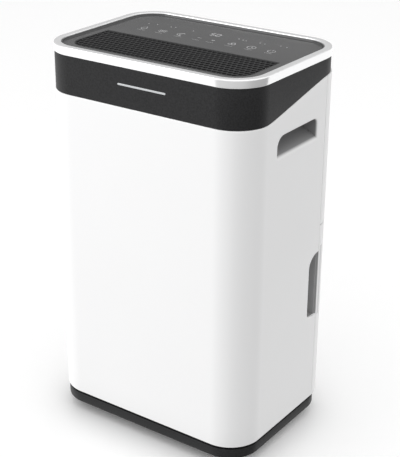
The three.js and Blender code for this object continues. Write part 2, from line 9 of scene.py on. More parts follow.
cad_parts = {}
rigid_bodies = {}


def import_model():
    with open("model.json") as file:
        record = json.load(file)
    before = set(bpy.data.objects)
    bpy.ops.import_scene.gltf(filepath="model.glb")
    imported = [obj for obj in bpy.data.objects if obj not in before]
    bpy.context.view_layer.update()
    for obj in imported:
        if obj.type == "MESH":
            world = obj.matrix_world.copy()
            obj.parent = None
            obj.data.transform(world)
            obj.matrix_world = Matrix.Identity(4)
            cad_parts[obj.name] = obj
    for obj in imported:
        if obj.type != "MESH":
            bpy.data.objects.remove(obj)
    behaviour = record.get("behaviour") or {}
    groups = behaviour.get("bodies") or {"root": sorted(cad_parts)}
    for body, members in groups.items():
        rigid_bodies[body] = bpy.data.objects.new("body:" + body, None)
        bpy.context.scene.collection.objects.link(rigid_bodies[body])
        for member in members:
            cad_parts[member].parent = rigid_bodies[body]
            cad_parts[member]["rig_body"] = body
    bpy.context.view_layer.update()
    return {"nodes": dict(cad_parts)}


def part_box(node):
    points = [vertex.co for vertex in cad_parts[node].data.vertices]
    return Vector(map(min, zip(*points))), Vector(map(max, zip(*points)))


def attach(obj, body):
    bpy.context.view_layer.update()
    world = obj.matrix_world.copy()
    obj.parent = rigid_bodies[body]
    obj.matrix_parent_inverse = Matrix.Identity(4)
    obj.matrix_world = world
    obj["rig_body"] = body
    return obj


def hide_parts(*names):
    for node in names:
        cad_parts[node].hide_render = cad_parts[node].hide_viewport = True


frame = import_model()
nodes = frame["nodes"]
mm = 0.001  # drawn in millimetres, stored in metres
print("frame loaded:", len(nodes), "nodes")


def boxOf(node):
    # lowest and highest corner of a node in millimetres
    low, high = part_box(node)
    return np.array(low) / mm, np.array(high) / mm


shellLow, shellHigh = boxOf("front_shell")
bandLow, bandHigh = boxOf("top_band")
rimLow, rimHigh = boxOf("chrome_rim")
cabinet = {
    "halfWidth": bandHigh[0],
    "front": bandLow[1],
    "bandRear": bandHigh[1],
    "corner": 44.6,
    "wall": 2.5,
    "arcSteps": 26,
    "guard": 1.2,
}


# meshes

def gridFaces(rows, columns, wrapRows=False, wrapColumns=False):
    # quads between neighbours on a grid: (i, j), (i+1, j), (i+1, j+1), (i, j+1)
    index = np.arange(rows * columns).reshape(rows, columns)
    if wrapRows:
        index = np.vstack([index, index[:1]])
    if wrapColumns:
        index = np.hstack([index, index[:, :1]])
    corners = [index[:-1, :-1], index[1:, :-1], index[1:, 1:], index[:-1, 1:]]
    return np.stack(corners, -1).reshape(-1, 4)


def makePiece(name, points, faces, body, material, slot, replaced=(), sharp=38):
    # one mesh from millimetre points and faces, outward normals, smooth up to the sharp angle
    mesh = bpy.data.meshes.new(name)
    places = np.asarray(points, float).reshape(-1, 3) * mm
    mesh.from_pydata(places.tolist(), [], [list(f) for f in faces])
    work = bmesh.new()
    work.from_mesh(mesh)
    bmesh.ops.remove_doubles(work, verts=work.verts, dist=2e-6)
    bmesh.ops.dissolve_degenerate(work, edges=work.edges, dist=1e-6)
    bmesh.ops.recalc_face_normals(work, faces=work.faces)
    work.to_mesh(mesh)
    work.free()
    mesh.shade_smooth()
    mesh.set_sharp_from_angle(angle=math.radians(sharp))
    piece = bpy.data.objects.new(name, mesh)
    bpy.context.scene.collection.objects.link(piece)
    mesh.materials.append(material)
    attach(piece, body)
    if replaced:
        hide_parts(*replaced)
    return piece


def joined(*parts):
    # several (points, faces) sets as one, face numbers shifted past the points before them
    points, faces, start = [], [], 0
    for partPoints, partFaces in parts:
        flat = np.asarray(partPoints, float).reshape(-1, 3)
        points.append(flat)
        faces += [[int(v) + start for v in face] for face in partFaces]
        start += len(flat)
    return np.vstack(points), faces


def outline(rear):
    # rounded rectangle seen from above, anticlockwise: four arcs, each a centre plus radius
    # times (cos, sin), with a guard point just before and after every arc; and its normals
    r, w = cabinet["corner"], cabinet["halfWidth"]
    front, guard = cabinet["front"], cabinet["guard"]
    centres = [(w - r, front + r), (w - r, rear - r), (r - w, rear - r), (r - w, front + r)]
    points, normals = [], []
    for number, centre in enumerate(centres):
        turn = np.radians(np.linspace(-90, 0, cabinet["arcSteps"] + 1) + 90 * number)
        normal = np.stack([np.cos(turn), np.sin(turn)], -1)
        along = np.stack([-np.sin(turn), np.cos(turn)], -1)
        arc = np.array(centre) + normal * r
        points += [arc[:1] - along[:1] * guard, arc, arc[-1:] + along[-1:] * guard]
        normals += [normal[:1], normal, normal[-1:]]
    return np.vstack(points), np.vstack(normals)


def filleted(corners, steps=5):
    # closed section from (u, v, radius) corners: each corner becomes an arc tangent to both sides
    corners = np.array(corners, float)
    here, radius = corners[:, :2], corners[:, 2]
    toBack = np.roll(here, 1, 0) - here
    toNext = np.roll(here, -1, 0) - here
    toBack /= np.linalg.norm(toBack, axis=1, keepdims=True)
    toNext /= np.linalg.norm(toNext, axis=1, keepdims=True)
    half = np.arccos(np.clip((toBack * toNext).sum(1), -1, 1)) / 2
    reach = (radius / np.tan(half))[:, None]
    middle = toBack + toNext
    middle /= np.linalg.norm(middle, axis=1, keepdims=True)
    centre = here + middle * (radius / np.sin(half))[:, None]
    first, last = here + toBack * reach - centre, here + toNext * reach - centre
    share = np.linspace(0, 1, steps + 1)[None, :, None]
    span = np.pi - 2 * half[:, None, None]
    blend = np.sin((1 - share) * span) * first[:, None] + np.sin(share * span) * last[:, None]
    return (centre[:, None] + blend / np.sin(span)).reshape(-1, 2)


def sweepOpen(path, section):
    # open section carried round a closed path: point = path + normal * offset, height = section's z
    points, normals = path
    plan = points[:, None] + normals[:, None] * section[None, :, :1]
    tall = np.broadcast_to(section[:, 1], plan.shape[:2])
    grid = np.concatenate([plan, tall[..., None]], -1)
    return grid, gridFaces(len(points), len(section), True)


def sweepRound(path, section):
    # the same with a closed section
    grid, _ = sweepOpen(path, section)
    return grid.reshape(-1, 3), gridFaces(len(path[0]), len(section), True, True)


def atHeight(height):
    # lays (x, y) points at one height
    return lambda flat: np.column_stack([flat, np.full(len(flat), height)])


def flatSheet(loops, place):
    # flat face bounded by the first loop, with the others as holes; place turns (u, v) into x, y, z
    loops3 = [[Vector((u, v, 0)) for u, v in loop] for loop in loops]
    triangles = tessellate_polygon(loops3)
    return place(np.vstack(loops)), [list(t) for t in triangles]


def roundedLoop(u0, u1, v0, v1, radii, steps=8):
    # rectangle with its own corner radii, anticlockwise from the low-low corner
    corners = [(u0, v0, radii[0]), (u1, v0, radii[1]), (u1, v1, radii[2]), (u0, v1, radii[3])]
    return filleted(corners, steps)


def lathe(centre, profile, axis, steps=32):
    # profile (radius, height) turned about an axis through centre; ends on the axis are closed
    profile = np.array(profile, float)
    turn = np.linspace(0, 2 * np.pi, steps, endpoint=False)
    ring = np.stack([np.cos(turn), np.sin(turn)], -1)
    around = ring[:, None] * profile[None, :, :1]
    along = np.broadcast_to(profile[:, 1], (steps, len(profile)))[..., None]
    order = {"z": [0, 1, 2], "y": [0, 2, 1], "x": [2, 0, 1]}[axis]
    grid = np.concatenate([around, along], -1)[..., order] + np.array(centre, float)
    return grid.reshape(-1, 3), gridFaces(steps, len(profile), True)


# shader groups and materials

def newGroup(name, outputs, **inputs):
    # shader group fed by a position; tuples make colour inputs, numbers plain ones
    group = bpy.data.node_groups.new(name, "ShaderNodeTree")
    group.interface.new_socket(name="Vector", in_out="INPUT", socket_type="NodeSocketVector")
    for label, value in inputs.items():
        kind = "NodeSocketColor" if isinstance(value, tuple) else "NodeSocketFloat"
        group.interface.new_socket(name=label, in_out="INPUT", socket_type=kind).default_value = value
    for label in outputs:
        kind = "NodeSocketColor" if label == "Colour" else "NodeSocketFloat"
        group.interface.new_socket(name=label, in_out="OUTPUT", socket_type=kind)
    return group, group.nodes.new("NodeGroupInput"), group.nodes.new("NodeGroupOutput")


def setInputs(node, values):
    for label, value in values.items():
        node.inputs[label].default_value = value


def mathNode(tree, operation, first, second=None):
    node = tree.nodes.new("ShaderNodeMath")
    node.operation = operation
    for slot, value in enumerate((first, second)):
        if value is None:
            continue
        if isinstance(value, (int, float)):
            node.inputs[slot].default_value = value
        else:
            tree.links.new(value, node.inputs[slot])
    return node.outputs[0]


def noiseNode(tree, vector, scale, detail=2.0, roughness=0.5):
    node = tree.nodes.new("ShaderNodeTexNoise")
    node.inputs["Detail"].default_value = detail
    node.inputs["Roughness"].default_value = roughness
    tree.links.new(vector, node.inputs["Vector"])
    if isinstance(scale, (int, float)):
        node.inputs["Scale"].default_value = scale
    else:
        tree.links.new(scale, node.inputs["Scale"])
    return node.outputs["Fac"]


def mixColour(tree, factor, first, second):
    node = tree.nodes.new("ShaderNodeMix")
    node.data_type = "RGBA"
    tree.links.new(factor, node.inputs[0])
    for slot, value in ((6, first), (7, second)):
        if isinstance(value, tuple):
            node.inputs[slot].default_value = value
        else:
            tree.links.new(value, node.inputs[slot])
    return node.outputs[2]


def finishOutputs(group, pins, out, share, patches, relief):
    # colour mixed by share, roughness + spread * (patches - 0.5), and the height for the bump
    group.links.new(mixColour(group, share, pins["Light"], pins["Dark"]), out.inputs["Colour"])
    swing = mathNode(group, "MULTIPLY", mathNode(group, "SUBTRACT", patches, 0.5), pins["Spread"])
    group.links.new(mathNode(group, "ADD", pins["Roughness"], swing), out.inputs["Roughness"])
    group.links.new(relief, out.inputs["Height"])
    return group


def mouldGroup():
    # spark-eroded tool finish: fine grain plus faint flow patches in colour and gloss
    group, inside, out = newGroup("mouldFinish", ["Colour", "Roughness", "Height"], Light=(1, 1, 1, 1),
                                  Dark=(0.9, 0.9, 0.9, 1), Grain=1500.0, Patch=9.0, Roughness=0.45,
                                  Spread=0.1, Speckle=0.2)
    pins = inside.outputs
    fine = noiseNode(group, pins["Vector"], pins["Grain"], 3.0, 0.6)
    broad = noiseNode(group, pins["Vector"], pins["Patch"], 2.0, 0.5)
    grainShare = mathNode(group, "MULTIPLY", mathNode(group, "SUBTRACT", fine, 0.5), pins["Speckle"])
    factor = mathNode(group, "ADD", mathNode(group, "MULTIPLY", broad, 0.8),
                      mathNode(group, "MULTIPLY", grainShare, 4.0))
    factor.node.use_clamp = True
    return finishOutputs(group, pins, out, factor, broad, fine)


def drawnGroup():
    # drawn or rolled metal: noise stretched along one axis, in colour, gloss and height
    group, inside, out = newGroup("drawnMetal", ["Colour", "Roughness", "Height"], Light=(1, 1, 1, 1),
                                  Dark=(0.8, 0.8, 0.8, 1), Scale=120.0, Roughness=0.3, Spread=0.15)
    pins = inside.outputs
    stretch = group.nodes.new("ShaderNodeMapping")
    stretch.inputs["Scale"].default_value = (0.12, 1.0, 1.0)
    group.links.new(pins["Vector"], stretch.inputs["Vector"])
    lines = noiseNode(group, stretch.outputs[0], pins["Scale"], 4.0, 0.65)
    return finishOutputs(group, pins, out, lines, lines, lines)


def dustGroup():
    # dust that settles on faces turned upwards, as a mask over a colour
    group, inside, out = newGroup("settledDust", ["Colour", "Mask"], Colour=(0.5, 0.5, 0.5, 1),
                                  Dust=(0.45, 0.44, 0.42, 1), Amount=0.3)
    pins = inside.outputs
    face = group.nodes.new("ShaderNodeNewGeometry")
    split = group.nodes.new("ShaderNodeSeparateXYZ")
    group.links.new(face.outputs["Normal"], split.inputs[0])
    upward = mathNode(group, "MAXIMUM", split.outputs[2], 0.0)
    cloud = noiseNode(group, pins["Vector"], 60.0, 4.0, 0.6)
    mask = mathNode(group, "MULTIPLY", mathNode(group, "MULTIPLY", upward, cloud), pins["Amount"])
    group.links.new(mask, out.inputs["Mask"])
    group.links.new(mixColour(group, mask, pins["Colour"], pins["Dust"]), out.inputs["Colour"])
    return group


def recessGroup():
    # painted shade for the hand recesses: a mask, share = distance in from the flat side / fade, inside a
    # box of y and z, that darkens the colour where the pockets fall into shade
    group, inside, out = newGroup("recessShade", ["Mask"], Side=0.1525, Fade=0.006, Rear=0.08,
                                  Front=-0.05, Low=0.4, High=0.44, Strength=1.0)
    pins = inside.outputs
    split = group.nodes.new("ShaderNodeSeparateXYZ")
    group.links.new(pins["Vector"], split.inputs[0])
    x, y, z = split.outputs
    depth = mathNode(group, "SUBTRACT", pins["Side"], mathNode(group, "ABSOLUTE", x))
    share = mathNode(group, "DIVIDE", depth, pins["Fade"])
    share.node.use_clamp = True
    mask = mathNode(group, "MULTIPLY", share, pins["Strength"])
    for operation, axis, limit in (("GREATER_THAN", y, "Front"), ("LESS_THAN", y, "Rear"),
                                   ("GREATER_THAN", z, "Low"), ("LESS_THAN", z, "High")):
        mask = mathNode(group, "MULTIPLY", mask, mathNode(group, operation, axis, pins[limit]))
    group.links.new(mask, out.inputs["Mask"])
    return group


moulded, drawn, dusty, recessShadeGroup = mouldGroup(), drawnGroup(), dustGroup(), recessGroup()


def shadeOf(colour, factor):
    return tuple(min(1.0, c * factor) for c in colour) + (1.0,)


def makeMaterial(name, group, colour, depth=0.9, bump=0.1, bumpDistance=0.0002, dust=0.0, fixed=None,
                 paintedShade=None, **values):
    # a Principled surface whose colour, roughness and bump come from one of the groups
    made = bpy.data.materials.new(name)
    made.use_nodes = True
    tree = made.node_tree
    shader = tree.nodes["Principled BSDF"]
    place = tree.nodes.new("ShaderNodeTexCoord")
    finish = tree.nodes.new("ShaderNodeGroup")
    finish.node_tree = group
    tree.links.new(place.outputs["Object"], finish.inputs["Vector"])
    setInputs(finish, {"Light": shadeOf(colour, 1.0), "Dark": shadeOf(colour, depth), **values})
    colourOut = finish.outputs["Colour"]
    if dust:
        settle = tree.nodes.new("ShaderNodeGroup")
        settle.node_tree = dusty
        settle.inputs["Amount"].default_value = dust
        tree.links.new(place.outputs["Object"], settle.inputs["Vector"])
        tree.links.new(colourOut, settle.inputs["Colour"])
        colourOut = settle.outputs["Colour"]
    # painted shade: inside the pockets the colour is mixed towards a dark grey that stands in for their
    # shade
    if paintedShade:
        shade = tree.nodes.new("ShaderNodeGroup")
        shade.node_tree = recessShadeGroup
        setInputs(shade, paintedShade["place"])
        tree.links.new(place.outputs["Object"], shade.inputs["Vector"])
        colourOut = mixColour(tree, shade.outputs["Mask"], colourOut, paintedShade["colour"])
    tree.links.new(colourOut, shader.inputs["Base Color"])
    tree.links.new(finish.outputs["Roughness"], shader.inputs["Roughness"])
    relief = tree.nodes.new("ShaderNodeBump")
    setInputs(relief, {"Strength": bump, "Distance": bumpDistance})
    tree.links.new(finish.outputs["Height"], relief.inputs["Height"])
    tree.links.new(relief.outputs["Normal"], shader.inputs["Normal"])
    setInputs(shader, fixed or {})
    return made


whiteFinish = dict(depth=0.975, bump=0.12, Grain=1100.0, Roughness=0.42, Spread=0.08, Speckle=0.15)
whiteColour = (0.86, 0.86, 0.862)
whitePlastic = makeMaterial("whitePlastic", moulded, whiteColour, **whiteFinish)
# painted shade colours for the handle recess and the tank's grip notch
fingerRecessShade = {"colour": (0.2, 0.2, 0.202, 1), "place": {"Fade": 0.003}}
tankNotchShade = {"colour": (0.36, 0.36, 0.362, 1), "place": {
    "Side": 0.1523, "Fade": 0.0012, "Front": 0.04, "Rear": 0.0765, "Low": 0.154, "High": 0.254}}
whiteShell = makeMaterial("whiteShell", moulded, whiteColour, paintedShade=fingerRecessShade, **whiteFinish)
whiteTank = makeMaterial("whiteTank", moulded, whiteColour, paintedShade=tankNotchShade, **whiteFinish)
blackPlastic = makeMaterial("blackPlastic", moulded, (0.022, 0.022, 0.023), depth=0.6, bump=0.5,
                            Grain=560.0, Roughness=0.5, Spread=0.08, Speckle=1.0,
                            fixed={"Specular IOR Level": 0.2})
innerBlack = makeMaterial("innerBlack", moulded, (0.018, 0.018, 0.019), depth=0.6, bump=0.3, dust=0.15,
                          Grain=700.0, Roughness=0.55, Spread=0.1, Speckle=0.5)
deckGrey = makeMaterial("deckGrey", moulded, (0.046, 0.046, 0.047), depth=0.94, bump=0.08,
                        Grain=1300.0, Roughness=0.24, Spread=0.05, Speckle=0.3)
grilleBlack = makeMaterial("grilleBlack", moulded, (0.024, 0.024, 0.025), depth=0.7, bump=0.3,
                           Grain=900.0, Roughness=0.42, Spread=0.1, Speckle=0.4,
                           fixed={"Specular IOR Level": 0.35})
brightRim = makeMaterial("brightRim", drawn, (0.93, 0.93, 0.935), depth=0.97, bump=0.02,
                         Scale=400.0, Roughness=0.16, Spread=0.04, fixed={"Metallic": 0.6})
rubber = makeMaterial("castorRubber", moulded, (0.02, 0.02, 0.02), depth=0.7, bump=0.5, dust=0.35,
                      Grain=500.0, Roughness=0.78, Spread=0.12, Speckle=0.5)
zincSteel = makeMaterial("zincSteel", drawn, (0.55, 0.56, 0.57), depth=0.82, bump=0.08, dust=0.12,
                         Scale=160.0, Roughness=0.36, Spread=0.2, fixed={"Metallic": 1.0})
copperPipe = makeMaterial("copperPipe", drawn, (0.72, 0.38, 0.22), depth=0.7, bump=0.05,
                          Scale=90.0, Roughness=0.3, Spread=0.2, fixed={"Metallic": 1.0})
coilAluminium = makeMaterial("coilAluminium", drawn, (0.74, 0.75, 0.76), depth=0.86, bump=0.1,
                             Scale=220.0, Roughness=0.4, Spread=0.15, fixed={"Metallic": 1.0})
blackEnamel = makeMaterial("blackEnamel", moulded, (0.014, 0.014, 0.016), depth=0.7, bump=0.1, dust=0.2,
                           Grain=260.0, Roughness=0.24, Spread=0.12, Speckle=0.3,
                           fixed={"Coat Weight": 0.4, "Coat Roughness": 0.12})
circuitBoard = makeMaterial("circuitBoard", moulded, (0.02, 0.13, 0.055), depth=0.55, bump=0.2,
                            Grain=420.0, Patch=180.0, Roughness=0.4, Spread=0.2, Speckle=0.6)
floatFoam = makeMaterial("floatFoam", moulded, (0.7, 0.73, 0.76), depth=0.82, bump=0.8, bumpDistance=0.0006,
                         Grain=420.0, Roughness=0.85, Spread=0.1, Speckle=0.8)
filterNet = makeMaterial("filterNet", moulded, (0.05, 0.05, 0.052), depth=0.6, bump=0.5,
                         Grain=900.0, Roughness=0.7, Spread=0.1, Speckle=0.6)
lightLens = makeMaterial("lightLens", moulded, (0.52, 0.53, 0.54), depth=0.95, bump=0.03,
                         Grain=500.0, Roughness=0.3, Spread=0.05, Speckle=0.1,
                         fixed={"Emission Color": (0.9, 0.95, 1.0, 1), "Emission Strength": 0.03})
panelPrint = makeMaterial("panelPrint", moulded, (0.55, 0.55, 0.56), depth=0.9, bump=0.05,
                          Grain=900.0, Roughness=0.5, Spread=0.05, Speckle=0.2)
clearWindow = makeMaterial("clearWindow", moulded, (0.85, 0.9, 0.93), depth=0.96, bump=0.02,
                           Grain=300.0, Roughness=0.08, Spread=0.03, Speckle=0.05,
                           fixed={"Transmission Weight": 0.85, "IOR": 1.49})
print("materials ready")


# outer shell

handle = {
    "front": -43.5, "rear": 47.5, "low": 406.0, "high": 433.5, "depth": 24.0,
    "lip": 1.2, "draft": 0.5, "foot": 2.0, "ramp": 18.0,
    "radii": {(-1, -1): 2.0, (1, -1): 2.0, (1, 1): 8.0, (-1, 1): 14.0},  # (front/rear, low/high)
    "reach": 14.0,
}
notch = {"front": 45.5, "low": 158.0, "high": 248.0, "lowRadius": 7.0, "highRadius": 18.5, "hold": 36.0}
bandEdge = {"front": 454.3, "side": 482.6, "start": -62.5, "end": 67.0, "soften": 5.0}


def edgeHeight(y):
    # band's lower edge: level, then a straight rise with y, level again; each bend is a softened
    # corner, soft(t) = s * ln(1 + e^(t/s))
    s = bandEdge["soften"]
    slope = (bandEdge["side"] - bandEdge["front"]) / (bandEdge["end"] - bandEdge["start"])

    def soft(t):
        return s * np.logaddexp(0, np.asarray(t) / s)
    return bandEdge["front"] + slope * (soft(y - bandEdge["start"]) - soft(y - bandEdge["end"]))


def quarter(radius, steps=4):
    # quarter circle as (distance to the edge, drop below the face) pairs, far to near
    turn = np.linspace(0, np.pi / 2, steps + 1)
    return radius * (1 - np.sin(turn)), radius * (1 - np.cos(turn))


def pocketProfile():
    # depth against distance outside the opening: eased lip, drafted wall, filleted foot, floor
    lipOut, lipDrop = quarter(handle["lip"])
    turn = np.linspace(0, np.pi / 2, 5)
    foot, deep, draft = handle["foot"], handle["depth"], handle["draft"]
    footOut = -draft - foot * (1 - np.cos(turn))
    footDrop = deep - foot + foot * np.sin(turn)
    return np.concatenate([lipOut, footOut]), np.concatenate([lipDrop, footDrop])


def pocketLines(low, high, lowPlain=False):
    # grid lines across the pocket: close together at the lip and foot, wider elsewhere
    out, _ = pocketProfile()
    blend = np.array([handle["reach"], 9.5, 6.0, 3.0])
    inner = np.array([-4.5, -7.0, -10.0, -14.0])
    offsets = np.concatenate([blend, out, inner])
    if lowPlain:  # the floor's ramp takes lines of its own
        share = np.array([-0.3, -0.1, 0, 0.05, 0.12, 0.22, 0.34, 0.48, 0.62])
        near = low + handle["ramp"] * share
        offsets = offsets[offsets > -(high - low - handle["ramp"] * 0.68)]
    else:
        near = low - offsets
    return np.unique(np.concatenate([near, high + offsets]).round(4))


def pocketShift(y, z, grow):
    # the pocket in a flat side: returns moved y, z and the depth. Distance outside the opening is
    # the larger of the two side distances, so lines run parallel to the sides; near a corner the
    # square rings are bent into circles. The floor ramps up to the face at its lower edge.
    middleY, middleZ = (handle["front"] + handle["rear"]) / 2, (handle["low"] + handle["high"]) / 2
    signY, signZ = np.where(y < middleY, -1, 1), np.where(z < middleZ, -1, 1)
    radius = np.zeros_like(y)
    for (a, b), value in handle["radii"].items():
        radius[(signY == a) & (signZ == b)] = value
    edgeY = np.where(signY < 0, handle["front"], handle["rear"])
    edgeZ = np.where(signZ < 0, handle["low"], handle["high"])
    du = np.maximum(signY * (y - edgeY) + radius, 0)
    dv = np.maximum(signZ * (z - edgeZ) + radius, 0)
    ring = np.maximum(du, dv)
    outside = ring - radius
    safe = np.maximum(ring, 1e-9)
    angle = np.radians(45) * np.minimum(du, dv) / safe
    long, short = ring * np.cos(angle), ring * np.sin(angle)
    reach, lip = handle["reach"], handle["lip"]
    bent = np.clip((reach - outside) / (reach - lip), 0, 1)
    bent = bent * bent * (3 - 2 * bent)
    roundU = np.where(du >= dv, long, short)
    roundV = np.where(du >= dv, short, long)
    newU, newV = du + (roundU - du) * bent, dv + (roundV - dv) * bent
    scale = 1 + grow * np.clip((reach - outside) / (reach - lip), 0, 1) / safe
    newY = y + signY * (newU * scale - du)
    newZ = z + signZ * (newV * scale - dv)
    out, drop = pocketProfile()
    depth = np.interp(-outside, -out, drop)
    t = np.clip((z - handle["low"]) / handle["ramp"], 0, 1)
    depth = np.minimum(depth, handle["depth"] * t * t * (3 - 2 * t))
    return newY, newZ, depth


def notchEdge(z):
    # rear edge of the shell: straight, but drawn forward round the grip notch by two arcs
    seam = shellHigh[1]
    low, high, front = notch["low"], notch["high"], notch["front"]
    edge = np.full_like(z, seam)
    inside = (z >= low) & (z <= high)
    edge[inside] = front
    r = notch["highRadius"]
    near = inside & (z > high - r)
    edge[near] = seam - np.sqrt(np.maximum(r * r - (z[near] - high + r) ** 2, 0)) * (seam - front) / r
    r = notch["lowRadius"]
    near = inside & (z < low + r)
    edge[near] = front + r - np.sqrt(np.maximum(r * r - (low + r - z[near]) ** 2, 0))
    return edge


shell = {"ease": 1.1, "topGap": 0.3, "sideLines": [-64.2, -62, 52, 56, 60, 64.5],
         "plainRows": [60, 110, 180, 205, 300, 350]}


def shellColumns():
    # plan of the U-shaped skin from one rear seam round the front to the other: points, normals
    # and, for each column, how far it is rounded back at the seam; and the columns in one side
    half, r, seam = cabinet["halfWidth"], cabinet["corner"], shellHigh[1]
    easeOut, easeDrop = quarter(shell["ease"])
    pocket = pocketLines(handle["front"], handle["rear"])
    lines = np.concatenate([pocket, shell["sideLines"], seam - easeOut])
    lines = np.unique(lines.round(4))[::-1]
    turn = np.radians(np.linspace(0, -90, cabinet["arcSteps"] + 1))
    ray = np.stack([np.cos(turn), np.sin(turn)], -1)
    side = np.stack([np.full_like(lines, half), lines], -1)
    arc = np.array([half - r, cabinet["front"] + r]) + r * ray
    across = np.array([[half - r - cabinet["guard"], cabinet["front"]], [half - r - 30, cabinet["front"]]])
    right = np.vstack([side, arc, across])
    normal = np.vstack([np.tile([1.0, 0.0], (len(side), 1)), ray, np.tile([0.0, -1.0], (2, 1))])
    flip = np.array([-1, 1])
    atSeam = lines > seam - shell["ease"] - 1e-6
    easing = np.where(atSeam, np.interp(seam - lines, easeOut[::-1], easeDrop[::-1]), 0)
    middle = np.zeros(2 * len(right) - 2 * len(side))
    return (np.vstack([right, right[::-1] * flip]), np.vstack([normal, normal[::-1] * flip]),
            np.concatenate([easing, middle, easing[::-1]]), len(side))


def shellRows():
    # heights from the base to just above the pocket, close together where the notch's arcs turn
    low, high = notch["low"], notch["high"]
    lowTurn, highTurn = np.linspace(0, np.pi / 2, 6), np.linspace(0, np.pi / 2, 12)
    easeOut, _ = quarter(shell["ease"])
    lowArc = low + notch["lowRadius"] * (1 - np.cos(lowTurn))
    highArc = high - notch["highRadius"] + notch["highRadius"] * np.sin(highTurn)
    rows = np.concatenate([shellLow[2] + easeOut, shell["plainRows"], [low - 2, low - 0.8, high + 2],
                           lowArc, highArc, pocketLines(handle["low"], handle["high"], True)])
    return np.unique(rows.round(4))


def shellSkin(columns, rows, grow):
    # one skin: plan point - normal * (edge rounding + pocket depth + grow). Above the pocket the
    # rows fan out to the band's edge, and near the seam they are drawn forward round the notch
    plan, normal, columnEase, sideCount = columns
    count, ease, seam = len(plan), shell["ease"], shellHigh[1]
    easeOut, easeDrop = quarter(ease)
    onSide = np.zeros((count, 1), bool)
    onSide[:sideCount] = onSide[-sideCount:] = True
    y = np.repeat(plan[:, 1:], len(rows), 1)
    z = np.repeat(rows[None], count, 0)
    newY, newZ, depth = pocketShift(y, z, grow)
    useY, useZ = np.where(onSide, newY, y), np.where(onSide, newZ, z)
    depth = np.where(onSide, depth, 0)
    top = edgeHeight(plan[:, 1:]) - shell["topGap"]
    share = np.linspace(0, 1, 4)[1:]
    useZ = np.hstack([useZ, rows[-1] + (top - ease - rows[-1]) * share[None], top - easeOut[None, 1:]])
    added = useZ.shape[1] - len(rows)
    useY = np.hstack([useY, np.repeat(plan[:, 1:], added, 1)])
    depth = np.hstack([depth, np.zeros((count, added))])
    rowEase = np.zeros(useZ.shape[1])
    rowEase[:len(easeDrop)] = easeDrop[::-1]
    rowEase[-len(easeDrop):] = easeDrop
    share = np.clip((useY - notch["hold"]) / (seam - ease - notch["hold"]), 0, 1)
    useY = np.where(onSide, useY - share * (seam - notchEdge(useZ)), useY)
    easing = np.maximum(columnEase[:, None], rowEase[None]) if grow == 0 else 0
    base = np.stack([np.repeat(plan[:, :1], useY.shape[1], 1), useY], -1)
    flat = base - normal[:, None] * (easing + depth + grow)[..., None]
    return np.concatenate([flat, useZ[..., None]], -1)


def frontShell():
    # outer and inner skin on the same grid close into one body, with a strip down each seam
    columns, rows = shellColumns(), shellRows()
    outer = shellSkin(columns, rows, 0.0)
    inner = shellSkin(columns, rows, cabinet["wall"])
    loop = np.concatenate([outer, inner[:, ::-1]], 1)
    faces = gridFaces(loop.shape[0], loop.shape[1], False, True).tolist()
    width = outer.shape[1]
    step = np.arange(width - 1)
    last = 2 * width - 1
    for column in (0, len(loop) - 1):
        start = column * 2 * width
        strip = np.stack([start + step, start + step + 1, start + last - 1 - step, start + last - step], -1)
        faces += strip.tolist()
    makePiece("outer_shell", loop, faces, "cabinet", whiteShell, "white_plastic", ["front_shell"])


frontShell()
print("outer shell done")


# band, rim and lamp

lampSlot = {"margin": 0.3, "depth": 1.0, "lip": 0.15, "near": 3.0}
band = {"ease": 0.7, "sideFront": 48.0, "sideRear": 60.0, "sideLines": 12, "behind": (-62, -40)}
rim = {"width": 8.8, "outerFoot": 0.5, "outerTop": 1.5, "innerTop": 0.9, "innerFoot": 0.4}


def bandColumns(x0, x1):
    # the plan's points and normals, with extra lines beside the lamp and along both sides
    points, normals = outline(cabinet["bandRear"])
    lip, near = lampSlot["lip"], lampSlot["near"]
    across = np.array([x0 - near, x0 - lip, x0, x1, x1 + lip, x1 + near])
    points = np.vstack([points, np.stack([across, np.full_like(across, cabinet["front"])], -1)])
    normals = np.vstack([normals, np.tile([0.0, -1.0], (len(across), 1))])
    more = np.linspace(cabinet["front"] + band["sideFront"], band["sideRear"], band["sideLines"])
    half = cabinet["halfWidth"]
    for sign, lines, limit in zip((1, -1), (more, more[::-1]), band["behind"]):
        added = np.stack([np.full_like(lines, sign * half), lines], -1)
        at = int(np.argmax((points[:, 0] * sign > half - 1e-3) & (points[:, 1] * sign > limit)))
        points = np.insert(points, at, added, 0)
        normals = np.insert(normals, at, np.tile([float(sign), 0.0], (len(lines), 1)), 0)
    keep = np.concatenate([[True], np.linalg.norm(np.diff(points, axis=0), axis=1) > 1e-3])
    return points[keep], normals[keep]


